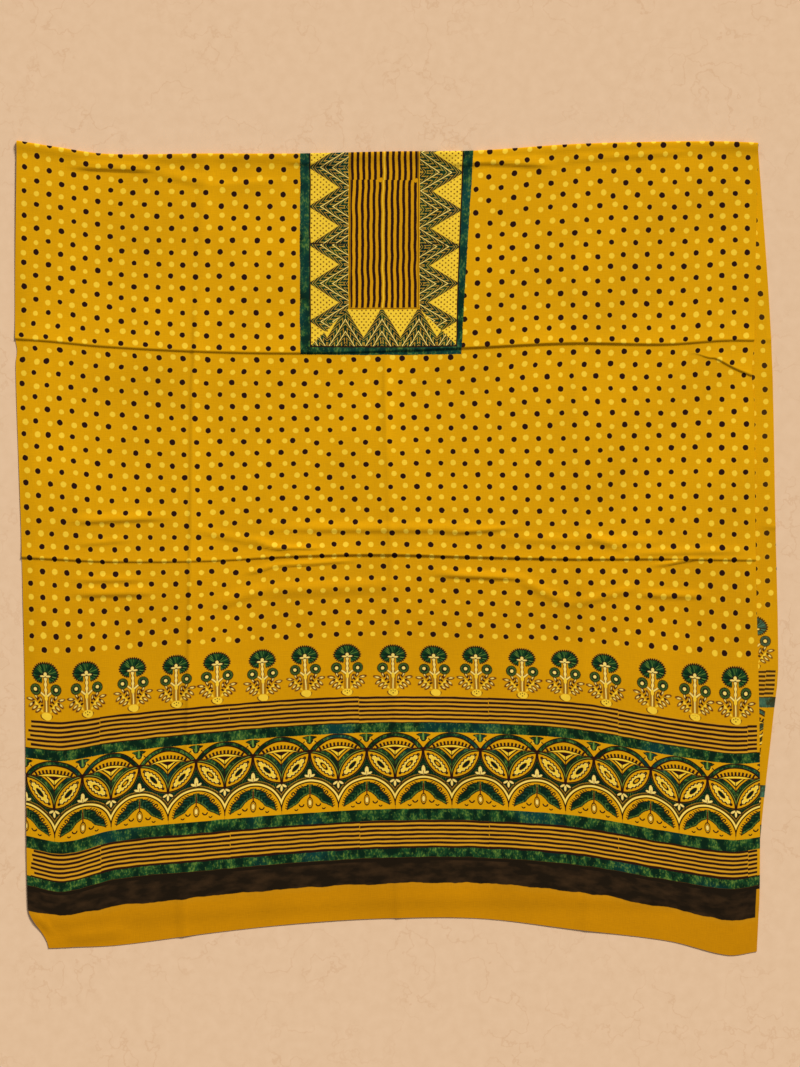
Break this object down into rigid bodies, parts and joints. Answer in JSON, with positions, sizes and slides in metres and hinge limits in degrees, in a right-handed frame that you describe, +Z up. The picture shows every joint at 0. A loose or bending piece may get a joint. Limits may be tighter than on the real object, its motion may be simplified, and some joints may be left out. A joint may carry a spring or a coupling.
{
  "type": "folded printed fabric",
  "caption": "Wide length of fine block-printed cotton, folded in half and laid face up, with packing creases, a soft fold along the top and uneven edges.",
  "frame": {"origin": "middle of the folded cloth's footprint, on the surface it lies on", "axes": "+X across the cloth to the selvedge where the back layer shows, +Y from the printed end towards the fold, +Z up out of the printed face"},
  "size_m": [1.1444, 1.2206, 0.0107],
  "materials": {
    "cloth": "matt, fine plain-weave cotton, block printed"
  },
  "bodies": {
    "root": {"cloth": "cloth"}
  },
  "joints": []
}
